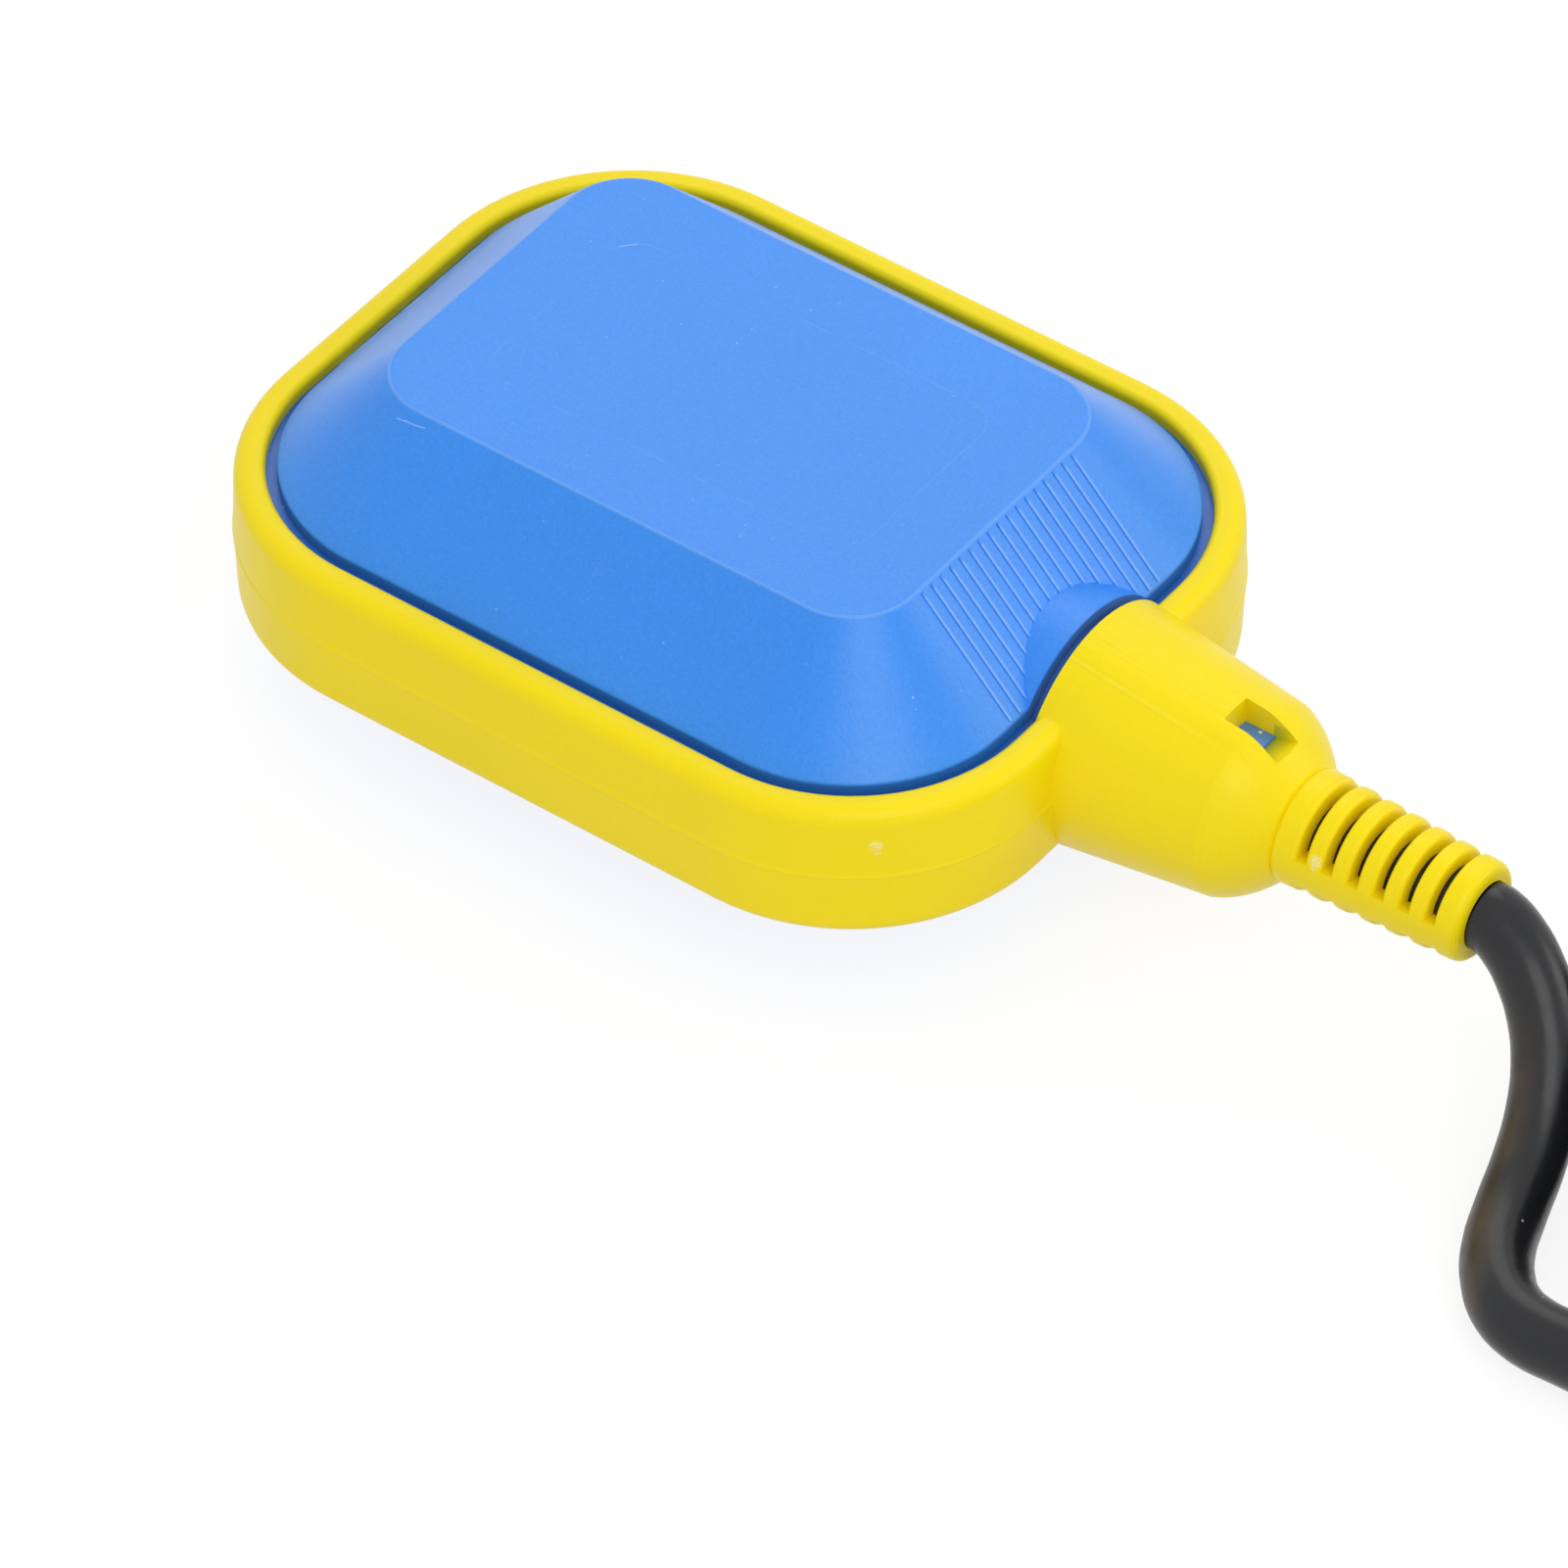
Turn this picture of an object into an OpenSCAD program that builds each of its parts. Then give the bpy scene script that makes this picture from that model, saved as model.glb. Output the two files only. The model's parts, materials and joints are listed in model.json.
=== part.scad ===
// Cable float switch: two blue half shells held by a yellow overmoulded band, neck and strain relief,
// with a rolling ball and a microswitch inside, and a lead that lies on the floor and ends in a coil.
// Frame: the origin is the centre of the lower flat face, +X runs to the lead, +Z is up.

/* [Float body] */
// Length of the band that goes round the body
body_l = 104.4; // [100:0.2:130]
// Width of the band
body_w = 81.8; // [79:0.2:100]
// Thickness over the two flat faces
body_t = 43.6; // [42:0.2:56]
// Radius of the band's corners, seen from above
corner_r = 25.8; // [23:0.1:26]
// Radius of the flat faces' corners
plateau_r = 8; // [6:0.5:10]

/* [Shells] */
// Wall of the blue half shells
shell_wall = 2.5; // [2:0.1:2.8]
// Rounding between the flat face and the slopes
plateau_edge_r = 0.8; // [0.3:0.1:2]
// Rounding at the foot of the slopes
foot_edge_r = 0.6; // [0.2:0.1:1.2]
// Upright step at the foot of the slopes
foot_step = 1.7; // [1:0.1:2.5]
// Ledge seen between that step and the band's rim
ledge_w = 1.3; // [0.8:0.1:2]
// How far the flange goes under the rim
flange_grip = 1.1; // [0.6:0.1:1.6]
// Width of the tongue that joins the two halves
tongue_w = 1.2; // [0.8:0.1:1.6]
// Height of the tongue
tongue_h = 1; // [0.6:0.1:2]
// Play of the tongue in its groove
tongue_gap = 0.1; // [0.05:0.05:0.3]
// Number of fine ribs on the slope beside the lead
rib_n = 17; // [9:2:19]
// Distance between the ribs
rib_pitch = 1.72; // [1:0.02:1.8]
// Width of a rib
rib_w = 0.35; // [0.2:0.05:0.8]
// Height of a rib
rib_h = 0.14; // [0.1:0.02:0.5]
// Radius of the half barrel on that slope
barrel_r = 14.2; // [13:0.1:15]

/* [Band] */
// Height of the band
band_h = 18; // [15:0.2:22]
// Width of the rim on top of the band
rim_w = 3.9; // [2.6:0.1:4.6]
// How far the rim stands above the ledge
rim_lip = 1.8; // [0.8:0.1:2]
// Rounding of the rim's outer edge, as a share of the rim's width
rim_round_share = 0.51; // [0.2:0.01:0.6]
// Rounding of the rim's inner edge, as a share of the rim's width
rim_in_share = 0.2; // [0.05:0.01:0.3]
// How far the band's wall leans in, from its seam to the rim
wall_lean = 0.25; // [0.1:0.05:0.8]
// Width of the seam round the middle of that wall
seam_w = 0.6; // [0.3:0.1:1.2]
// How far the seam stands out
seam_rise = 0.08; // [0.04:0.02:0.2]

/* [Neck] */
// Length of the neck, from the rim to the strain relief
neck_l = 27.3; // [26:0.1:34]
// Radius of the neck at the rim
neck_root_r = 14.2; // [14:0.1:15]
// Radius of the neck at its shoulder
shoulder_r = 11.6; // [11:0.1:12.5]
// Length of the shoulder that closes the neck
shoulder_l = 6.3; // [5:0.1:8]
// Radius of the blue inner neck
tube_r = 8.6; // [8:0.1:9]
// Distance from the inner neck's end to the strain relief
tube_back = 5.3; // [5:0.1:7]
// How far the collar goes under the neck
collar_grip = 2; // [1.4:0.1:3]
// Length of the window in the neck's top
window_l = 7.4; // [5:0.1:8]
// Width of the window
window_w = 4.1; // [3:0.1:5]
// Distance from the inner neck's end back to the window's start
window_back = 3.9; // [2:0.1:5]

/* [Strain relief] */
// Length of the strain relief
relief_l = 23.6; // [23:0.1:34]
// Radius at the neck
relief_r0 = 6.75; // [6:0.05:7]
// Radius at the lead's exit
relief_r1 = 5.9; // [5.4:0.05:6]
// Rounding of its end
relief_round = 1.2; // [0.6:0.1:1.4]
// Depth of the crease between neck and strain relief
crease = 0.3; // [0.1:0.05:0.5]
// Number of slots on each side
slot_n = 6; // [3:1:6]
// Distance between the slots
slot_pitch = 3.24; // [2.6:0.02:3.4]
// Width of a slot
slot_w = 1.2; // [0.8:0.05:1.6]
// Distance from the crease to the first slot
slot_start = 3.9; // [2:0.1:4.2]
// Rounding of the slots' edges
slot_round = 0.6; // [0.1:0.05:0.7]
// Angle of the solid spine above the middle of each side, in degrees
spine_a = 12; // [8:1:24]
// Angle of the spine below the middle
spine_low_a = 23; // [8:1:32]

/* [Lead] */
// Outer diameter of the lead
cable_d = 8; // [7:0.1:8.4]
// Diameter of an insulated core
core_d = 2.8; // [2.2:0.1:3]
// Length of the rubber seal in the inner neck
grommet_l = 8; // [5:0.5:10]
// Radius of the seal
grommet_r = 6.2; // [5.4:0.1:7]
// Radius of the resin plug
plug_r = 7; // [6:0.1:7.2]
// Length of the resin plug
plug_l = 5.5; // [3:0.1:6]
// How far the jacket stands out of the resin plug
jacket_out = 1; // [0.5:0.1:2]

/* [Coil] */
// Radius at the middle of the coil's turns
coil_r = 46; // [40:1:48]
// Width of the strap that ties the coil
tie_w = 4.6; // [3:0.1:8]
// Thickness of the strap
tie_t = 0.9; // [0.6:0.1:1.5]
// Size of the strap's head along the lead
tie_head_l = 6.4; // [5:0.1:8]
// Height of the strap's head
tie_head_h = 5; // [4:0.1:6]
// How far the head stands out of the coil
tie_head_out = 3.4; // [2:0.1:4]
// Length of the bare cores at the far end
tail_l = 34; // [20:1:40]
// How far the bare cores spread at their ends
tail_spread = 5; // [4:0.5:8]
// Length of stripped copper on each core
strand_l = 8; // [5:0.5:12]
// Diameter of the stripped copper
strand_d = 1.4; // [1:0.1:1.8]

/* [Ball and cage] */
// Diameter of the steel ball
ball_d = 16; // [14:0.5:17]
// How far the ball rolls before it meets the lever
ball_travel = 20; // [14:0.5:21]
// Play under the ball and behind it
ball_gap = 0.15; // [0.1:0.05:0.3]
// Play on each side of the ball and above it
ball_play = 0.4; // [0.2:0.1:0.8]
// Thickness of the cage's floor
cage_floor = 2; // [1.6:0.1:2.4]
// Thickness of the channel's walls
cage_wall = 1.8; // [1.4:0.1:2.4]
// Thickness of the cage's lid
lid_t = 1.6; // [1.2:0.1:2.2]
// Radius of the cage's screw lugs
lug_r = 3.6; // [3.2:0.1:4]
// Radius of the shells' bosses
boss_r = 3.2; // [2.8:0.1:3.6]
// Radius of the posts that carry the lid
post_r = 2.8; // [2.4:0.1:3]

/* [Microswitch] */
// Distance between the two mounting holes along the switch
hole_span_l = 22.2; // [22:0.1:22.4]
// Distance between them across the switch
hole_span_h = 10.3; // [10:0.1:10.6]
// Diameter of the mounting holes
hole_d = 3.1; // [3:0.05:3.3]
// Distance from a mounting hole's middle to the case's sides
hole_edge = 2.8; // [2.6:0.05:3]
// Thickness of the switch
switch_t = 10.3; // [9.8:0.1:11]
// Place of the switch's front face along the body
switch_x = 0; // [-1:0.1:0.4]
// Place of the switch's middle across the body
switch_y = -3; // [-3.4:0.1:-2.6]
// Wall of the switch's case
case_wall = 1.4; // [1.2:0.1:1.6]
// Thickness of the switch's cover
cover_t = 1.2; // [0.8:0.1:1.6]
// Rise of the free plunger above the case
plunger_rise = 1.6; // [1.4:0.05:1.8]
// Radius of the plunger
plunger_r = 1.5; // [1.3:0.05:1.6]
// Thickness of the lever
lever_t = 0.5; // [0.4:0.05:0.7]
// Width of the lever
lever_w = 4.6; // [4:0.1:4.8]
// Length of the lever past its pivot
lever_l = 23.5; // [20:0.5:24]
// Distance from the plunger to the lever's pivot
pivot_l = 11.5; // [11:0.1:11.8]
// Rise of the lever's pivot above the case
pivot_rise = 0.7; // [0.7:0.05:0.8]
// Diameter of the lever's pivot
pivot_d = 1.5; // [1.2:0.05:1.6]
// Thickness of the ears that hold it
ear_t = 1.2; // [0.9:0.05:1.2]
// Swing of the lever, in degrees
lever_swing = 4.5; // [3:0.1:4.5]
// Swing of the snap blade, in degrees
blade_swing = 2.25; // [1.5:0.05:2.25]
// Thickness of the blade
blade_t = 0.35; // [0.25:0.05:0.4]
// Width of the blade
blade_w = 4; // [3:0.1:4.4]
// Diameter of the contacts
contact_d = 2.8; // [2.4:0.1:3]
// Height of the moving contact on each side of the blade
rivet_h = 0.9; // [0.8:0.05:1]
// Height of the fixed contacts
fixed_h = 0.8; // [0.7:0.05:0.9]
// Width of the push-on tabs
tab_w = 4.75; // [4:0.05:5]
// Thickness of the tabs
tab_t = 0.8; // [0.5:0.1:1]
// Length of the tabs outside the case
tab_l = 8; // [7:0.1:8.5]
// Length of the push-on connectors
receptacle_l = 14.6; // [13:0.1:15]
// Gap between a connector and the case
tab_gap = 0.5; // [0.2:0.1:1]

/* [Screws] */
// Diameter of the screws that hold the cage
cage_screw_d = 2.5; // [2:0.1:3]
// Diameter of the screws that hold the lid
lid_screw_d = 2.2; // [1.8:0.1:2.6]
// Diameter of the screws that hold the switch
switch_screw_d = 3; // [2.6:0.05:3]
// Length of the screws that hold the cage
cage_screw_l = 8; // [6:0.2:9]
// Length of the screws that hold the lid
lid_screw_l = 6; // [5:0.2:8]
// Height of the screws' heads
head_h = 1.7; // [1.2:0.1:2]
// Ratio of a head's diameter to its shank's
head_ratio = 2; // [1.6:0.1:2.1]

/* [Hidden] */
$fn = 96;

// Colours, as in the photograph, and those usual for the pieces inside
shell_blue = [0.33, 0.59, 0.95];
band_yellow = [0.93, 0.85, 0.16];
lead_black = [0.15, 0.15, 0.15];
cage_white = [0.88, 0.88, 0.85];
case_black = [0.12, 0.12, 0.13];
cover_red = [0.62, 0.14, 0.12];
steel = [0.72, 0.73, 0.75];
brass = [0.80, 0.66, 0.36];
copper = [0.80, 0.45, 0.30];
core_brown = [0.40, 0.24, 0.14];
core_blue = [0.16, 0.36, 0.72];
sleeve_clear = [0.75, 0.80, 0.82];
resin_grey = [0.45, 0.45, 0.43];
tie_black = [0.10, 0.10, 0.10];

// A cut goes this far past the face that it opens, and two fused solids share this much
over = 1;
root = 0.6;
// Clearance of a fixed fit, and of a moving one
fit = 0.05;
run = 0.1;

// Body: every outline is an offset of one core rectangle, so all corners share their centres
half_t = body_t / 2;
core_x = body_l / 2 - corner_r;
core_y = body_w / 2 - corner_r;
rim_r = corner_r - rim_w;
foot_r = rim_r - ledge_w;
flange_r = rim_r + flange_grip;
rim_h = band_h / 2;
flange_h = rim_h - rim_lip;
foot_h = flange_h + foot_step;
slope_dr = foot_r - plateau_r;
slope_dh = half_t - foot_h;
slope_l = norm([slope_dr, slope_dh]);
slope_a = atan2(slope_dh, slope_dr);
slope_shift = shell_wall * slope_l / slope_dh;
ceiling_h = half_t - shell_wall;
side_in_r = foot_r - shell_wall;
tongue_r = (side_in_r + flange_r) / 2;

// Stations along the lead's axis
foot_x = core_x + foot_r;
rim_x = core_x + rim_r;
collar_r = barrel_r - foot_step;
collar_x = rim_x + collar_grip;
relief_x = rim_x + neck_l;
tube_x = relief_x - tube_back;
exit_x = relief_x + relief_l;
plug_x = foot_x - shell_wall;
jacket_x = plug_x - jacket_out;
grommet_x = (collar_x + tube_x - grommet_l) / 2;
window_x = tube_x - window_back;
cable_r = cable_d / 2;
core_r = core_d / 2;
core_ring = core_r / cos(30) + 0.2;

// Heights in the body, from the middle plane
channel_h = -(ball_d / 2 + ball_gap);
cage_h = channel_h - cage_floor;
lid_h = ball_d / 2 + ball_play;
lid_top_h = lid_h + lid_t;
channel_w = ball_d / 2 + ball_play;
channel_out = channel_w + cage_wall;

// Microswitch in its own frame: u along the case, v up to the plunger, w through its thickness
switch_l = hole_span_l + 2 * hole_edge;
switch_h = hole_span_h + 2 * hole_edge;
half_l = switch_l / 2;
case_top_w = switch_t / 2 - cover_t;
plunger_u = 0;
pivot_u = plunger_u - pivot_l;
pivot_v = switch_h + pivot_rise;
plunger_top = switch_h + plunger_rise;
lever_a = atan((plunger_top + run - pivot_v) / (plunger_u - pivot_u));
plunger_travel = pivot_l * lever_swing * PI / 180;
common_u = -hole_span_l / 2 + 4.6;
common_top = switch_h / 2 - 0.95;
blade_v = common_top + run;
contact_u = half_l - 4.4;
rivet_top = blade_v + blade_t + rivet_h;
rivet_low = blade_v - rivet_h;
contact_drop = (contact_u - common_u) * sin(blade_swing);
closed_v = rivet_top + run + fixed_h;
open_v = rivet_low - contact_drop - run - fixed_h - tab_t;
foot_v = blade_v + blade_t + plunger_travel - (plunger_u - common_u) * sin(blade_swing) + run;
holes = [[-hole_span_l / 2, hole_edge], [hole_span_l / 2, switch_h - hole_edge]];

// The ball stops 0.2 mm short of the lever's outer face
lever_rise = pivot_v + (-switch_y - pivot_u) * tan(lever_a) + lever_t / cos(lever_a);
ball_stop_x = switch_x + switch_h - lever_rise - (ball_d / 2 + 0.2) / cos(lever_a);
ball_x = ball_stop_x - ball_travel;
channel_x0 = ball_x - ball_d / 2 - ball_gap;
channel_x1 = switch_x - 5;

// Cage, round the channel and the switch
bay_x0 = channel_x1;
bay_x1 = switch_x + switch_h + 5.6;
bay_y0 = switch_y - half_l - 1;
bay_y1 = switch_y + half_l + 1.1;
lug_at = [
    [channel_x0 + 6, channel_out + lug_r - root, -1],
    [channel_x0 + 6, -channel_out - lug_r + root, 1],
    [channel_x1, bay_y1 + lug_r - root, -1],
    [switch_x + 12, bay_y0 - lug_r + root, 1]
];
lid_post_at = [
    [channel_x0 + 15, channel_out + post_r - root],
    [channel_x0 + 15, -channel_out - post_r + root],
    [bay_x1 - post_r, bay_y0 + post_r + 0.6],
    [bay_x1 - post_r, bay_y1 - post_r - 0.6]
];
shell_post_at = [[channel_x0 + 6, 6], [channel_x0 + 6, -6], [switch_x + 9, -12], [switch_x + 9, 6]];

// The lead's route on the floor, from the strain relief to the coil, in round numbers
route = [
    [100.6, 0, 21.7], [103.2, -0.5, 20.7], [106.4, -1.8, 18.8], [109.6, -3.8, 15.8], [112.2, -6.6, 12.4],
    [114.2, -10.4, 9], [115.7, -15, 6.3], [117.1, -20.2, 4.6], [119.1, -25.6, 4], [121.6, -29.4, 4],
    [124.8, -32.2, 4], [128.6, -33.4, 4], [133.2, -33.3, 4], [140, -33.1, 4], [150, -33, 4], [162, -33, 4],
    [174, -33, 4]
];

// Coil: two turns side by side and three above each other, and the last stretch lies inside them
coil_at = route[len(route) - 1] + [0, coil_r + cable_d, -cable_r];
coil_h = 3 * cable_d;
end_r = coil_r - cable_d;
end_a0 = 25;
end_a1 = 215;
tie_angle = 120;
tail_turn = 75;
tail_ahead = [-sin(end_a1), cos(end_a1), 0];

function unit(v) = v / norm(v);

// Points of a circle's arc round centre c
function arc(c, r, a0, a1, n) = [for (i = [0:n]) let (a = a0 + (a1 - a0) * i / n) c + r * [cos(a), sin(a)]];

// Points of a curve that leaves a towards b and reaches c
function bend(a, b, c, n) = [
    for (i = [0:n]) let (t = i / n) a * (1 - t) ^ 2 + 2 * b * t * (1 - t) + c * t ^ 2
];

// Points of a smooth curve through all of pts, n to a stretch
function smooth(pts, n) = [
    for (i = [0:len(pts) - 2])
        let (a = pts[max(i - 1, 0)], b = pts[i], c = pts[i + 1], d = pts[min(i + 2, len(pts) - 1)])
            for (k = [(i == 0 ? 0 : 1):n])
                let (t = k / n)
                    b + ((c - a) * t + (2 * a - 5 * b + 4 * c - d) * t ^ 2
                    + (3 * b - a - 3 * c + d) * t ^ 3) / 2
];

// An outline with a round of radius r[i] at corner i, in n steps
function rounded(pts, r, n) = [
    for (i = [0:len(pts) - 1])
        let (
            p = pts[i],
            u = unit(pts[(i + len(pts) - 1) % len(pts)] - p),
            v = unit(pts[(i + 1) % len(pts)] - p),
            half = acos(u * v) / 2,
            c = p + unit(u + v) * r[i] / sin(half),
            from = p + u * r[i] / tan(half) - c,
            to = p + v * r[i] / tan(half) - c,
            turn = sign(from[0] * to[1] - from[1] * to[0]) * (180 - 2 * half)
        )
        for (k = [0:r[i] > 0 ? n : 0])
            let (a = turn * k / n)
                c + [from[0] * cos(a) - from[1] * sin(a), from[0] * sin(a) + from[1] * cos(a)]
];

// Level radius of the slopes' outer face at a height
function slope_r(h) = foot_r - (h - foot_h) * slope_dr / slope_dh;

// A round bar swept along points, with its rings square to the route, and its end faces to first and final
module sweep(pts, r, sides, first, final) {
    last = len(pts) - 1;
    between = [for (i = [1:last - 1]) unit(pts[i + 1] - pts[i - 1])];
    along = concat(
        [first ? first : unit(pts[1] - pts[0])], between, [final ? final : unit(pts[last] - pts[last - 1])]
    );
    side = [for (d = along) unit(cross(d, [0.02, 0.03, 1]))];
    rings = [
        for (i = [0:last])
            for (k = [0:sides - 1])
                let (a = 360 * k / sides)
                    pts[i] + r * (side[i] * cos(a) + cross(along[i], side[i]) * sin(a))
    ];
    walls = [
        for (i = [0:sides:(last - 1) * sides])
            for (k = [0:sides - 1])
                let (m = (k + 1) % sides) [i + k, i + sides + k, i + sides + m, i + m]
    ];
    start = [for (k = [0:sides - 1]) k];
    end = [for (k = [sides - 1:-1:0]) last * sides + k];
    polyhedron(points = rings, faces = concat(walls, [start, end]));
}

// Turns an outline of level radius and height round the core rectangle
module around_body() {
    for (turn = [0, 180])
        rotate(turn) {
            translate([core_x, core_y, 0]) rotate([90, 0, 0]) linear_extrude(2 * core_y) children();
            translate([core_x, core_y, 0]) rotate_extrude(angle = 90) children();
            translate([-core_x, core_y, 0]) rotate([90, 0, 90]) linear_extrude(2 * core_x) children();
            translate([-core_x, core_y, 0]) rotate(90) rotate_extrude(angle = 90) children();
        }
}

// A cylinder along the lead's axis, between two stations
module axial(r, x0, x1) {
    translate([x0, 0, 0]) rotate([0, 90, 0]) cylinder(r = r, h = x1 - x0);
}

// A block between two corners
module block(low, high) {
    translate(low) cube(high - low);
}

// An upright cylinder at a place, between two heights
module upright(at, r, h0, h1) {
    translate([at[0], at[1], h0]) cylinder(r = r, h = h1 - h0);
}

// Wall of a half shell: flange, foot, slope, flat face, and the same inside
module shell_section() {
    in_top_r = slope_r(ceiling_h) - slope_shift;
    in_low_h = foot_h - (side_in_r + slope_shift - foot_r) * slope_dh / slope_dr;
    top_run = plateau_edge_r * tan(slope_a / 2);
    foot_run = foot_edge_r * tan((90 - slope_a) / 2);
    polygon(concat(
        [[side_in_r, 0], [flange_r, 0], [flange_r, flange_h], [foot_r, flange_h]],
        arc([foot_r - foot_edge_r, foot_h - foot_run], foot_edge_r, 0, 90 - slope_a, 3),
        arc([plateau_r - top_run, half_t - plateau_edge_r], plateau_edge_r, 90 - slope_a, 90, 4),
        [[0, half_t], [0, ceiling_h], [in_top_r, ceiling_h], [side_in_r, in_low_h]]
    ));
}

// Fine ribs that run down the slope beside the lead
module slope_ribs() {
    start = 0.5;
    for (i = [0:rib_n - 1])
        translate([core_x + plateau_r, (i - (rib_n - 1) / 2) * rib_pitch - rib_w / 2, half_t])
            rotate([0, slope_a, 0])
                translate([start, 0, -root])
                    cube([slope_l - 2 * start, rib_w, root + rib_h]);
}

// Half barrel, collar and inner neck, whole; the shell keeps its own half
module inner_neck() {
    axial(barrel_r, core_x + slope_r(barrel_r) - slope_shift, foot_x);
    axial(collar_r, foot_x - root, collar_x);
    axial(tube_r, collar_x - root, tube_x);
}

// What the lead, its seal and its resin take out of the inner neck
module neck_hollow() {
    axial(barrel_r - shell_wall, core_x, plug_x);
    axial(plug_r, plug_x - root, plug_x + plug_l);
    axial(grommet_r, grommet_x, grommet_x + grommet_l);
    axial(cable_r, plug_x, tube_x + over);
}

// One half of the body above the middle plane, without what differs between the halves
module half_shell() {
    difference() {
        union() {
            around_body() shell_section();
            block([-core_x, -core_y, ceiling_h], [core_x, core_y, half_t]);
            slope_ribs();
            intersection() {
                inner_neck();
                block([0, -barrel_r - over, 0], [tube_x + over, barrel_r + over, half_t]);
            }
        }
        neck_hollow();
    }
}

// The tongue between the halves; it stops beside the inner neck
module tongue(gap) {
    difference() {
        around_body()
            translate([tongue_r - tongue_w / 2 - gap, 0]) square([tongue_w + 2 * gap, tongue_h + gap]);
        block([core_x, -barrel_r, -over], [core_x + flange_r, barrel_r, tongue_h + over]);
    }
}

module upper_shell() {
    color(shell_blue)
        translate([0, 0, half_t])
            union() {
                half_shell();
                mirror([0, 0, 1]) tongue(0);
                for (at = shell_post_at)
                    upright(at, boss_r, lid_top_h, ceiling_h + root);
            }
}

module lower_shell() {
    color(shell_blue)
        translate([0, 0, half_t])
            mirror([0, 0, 1])
                difference() {
                    union() {
                        half_shell();
                        for (at = lug_at)
                            upright(at, boss_r, -cage_h, ceiling_h + root);
                    }
                    tongue(tongue_gap);
                    for (at = lug_at)
                        upright(at, cage_screw_d / 2, -cage_h - over, -channel_h + cage_screw_l);
                }
}

// Band: a channel that grips both flanges, with a fine seam round the middle of its wall
module band_section() {
    rim_round = rim_round_share * rim_w;
    rim_in_round = rim_in_share * rim_w;
    wall_r = corner_r - seam_rise;
    side_r = wall_r - wall_lean;
    seam = [[corner_r, seam_w / 6], [wall_r, seam_w / 2]];
    edge = arc([side_r - rim_round, rim_h - rim_round], rim_round, 0, 90, 8);
    inner = arc([rim_r + rim_in_round, rim_h - rim_in_round], rim_in_round, 90, 180, 5);
    top = concat(seam, edge, inner);
    low = [for (i = [len(top) - 1:-1:0]) [top[i][0], -top[i][1]]];
    grip = [[rim_r, flange_h], [flange_r, flange_h], [flange_r, -flange_h], [rim_r, -flange_h]];
    polygon(concat(low, top, grip));
}

// Neck and strain relief turned about the lead's axis
module neck_turned() {
    shoulder_x = neck_l - shoulder_l;
    drop = neck_root_r - shoulder_r;
    flare = bend([neck_root_r, 0], [shoulder_r + drop * 2 / 3, shoulder_x / 3], [shoulder_r, shoulder_x], 8);
    shoulder_bend = [shoulder_r - (shoulder_r - relief_r0) / 5, shoulder_x + shoulder_l / 2];
    shoulder = bend([shoulder_r, shoulder_x], shoulder_bend, [relief_r0, neck_l], 8);
    end = neck_l + relief_l;
    translate([rim_x, 0, 0])
        rotate([0, 90, 0])
            rotate_extrude()
                polygon(concat(
                    [[0, 0]],
                    flare,
                    [for (i = [1:8]) shoulder[i]],
                    [[relief_r0 - crease, neck_l + crease / 2], [relief_r0, neck_l + 2 * crease]],
                    arc([relief_r1 - relief_round, end - relief_round], relief_round, 0, 90, 5),
                    [[0, end]]
                ));
}

// One slot through the upper half of the strain relief, with rounded edges, down to an angle on each side
module relief_slot(x, from_a) {
    share = (x - relief_x) / relief_l;
    skin_r = relief_r0 + (relief_r1 - relief_r0) * share;
    half_w = slot_w / 2;
    open_w = half_w + slot_round;
    side = concat(
        [[cable_r - root, half_w]],
        arc([skin_r - slot_round, open_w], slot_round, -90, 0, 3),
        [[skin_r + over, open_w]]
    );
    translate([x, 0, 0])
        rotate([0, 90, 0])
            rotate(90 + from_a)
                rotate_extrude(angle = 180 - 2 * from_a)
                    polygon(concat(
                        [for (p = side) [p[0], -p[1]]],
                        [for (i = [len(side) - 1:-1:0]) side[i]]
                    ));
}

// The window shows the end of the inner neck, and a ramp leads out of it
module neck_window() {
    low_h = tube_r - root;
    ramp_h = 9.2;
    high_h = neck_root_r + over;
    translate([0, window_w / 2, 0])
        rotate([90, 0, 0])
            linear_extrude(window_w)
                polygon([
                    [window_x, low_h], [tube_x, low_h], [window_x + window_l, ramp_h],
                    [window_x + window_l, high_h], [window_x, high_h]
                ]);
}

module overmould_band() {
    color(band_yellow)
        translate([0, 0, half_t])
            difference() {
                union() {
                    around_body() band_section();
                    neck_turned();
                }
                block([core_x, -barrel_r - over, -flange_h], [core_x + flange_r, barrel_r + over, flange_h]);
                axial(collar_r, core_x, collar_x);
                axial(tube_r, collar_x - root, tube_x);
                axial(cable_r, tube_x - root, exit_x + over);
                neck_window();
                for (i = [0:slot_n - 1]) {
                    relief_slot(relief_x + slot_start + i * slot_pitch, spine_a);
                    mirror([0, 0, 1]) relief_slot(relief_x + slot_start + i * slot_pitch, spine_low_a);
                }
            }
}

// Plan of the cage's floor and lid
module cage_plan(h0, h1) {
    block([channel_x0 - cage_wall, -channel_out, h0], [channel_x1 + over, channel_out, h1]);
    block([bay_x0, bay_y0, h0], [bay_x1, bay_y1, h1]);
}

// Seat of the switch: a rib and a boss under each mounting hole, and stops behind it
module switch_seat() {
    seat_h = -switch_t / 2;
    rib = 3;
    for (hole = holes) {
        at = [switch_x + switch_h - hole[1], switch_y + hole[0]];
        low = [switch_x + 1, at[1] - rib / 2, channel_h - root];
        back = switch_x + switch_h;
        upright(at, boss_r, channel_h - root, seat_h);
        block(low, [back, at[1] + rib / 2, seat_h]);
        block([back + fit, low[1], low[2]], [back + cage_wall, at[1] + rib / 2, seat_h + 3]);
    }
}

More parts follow.
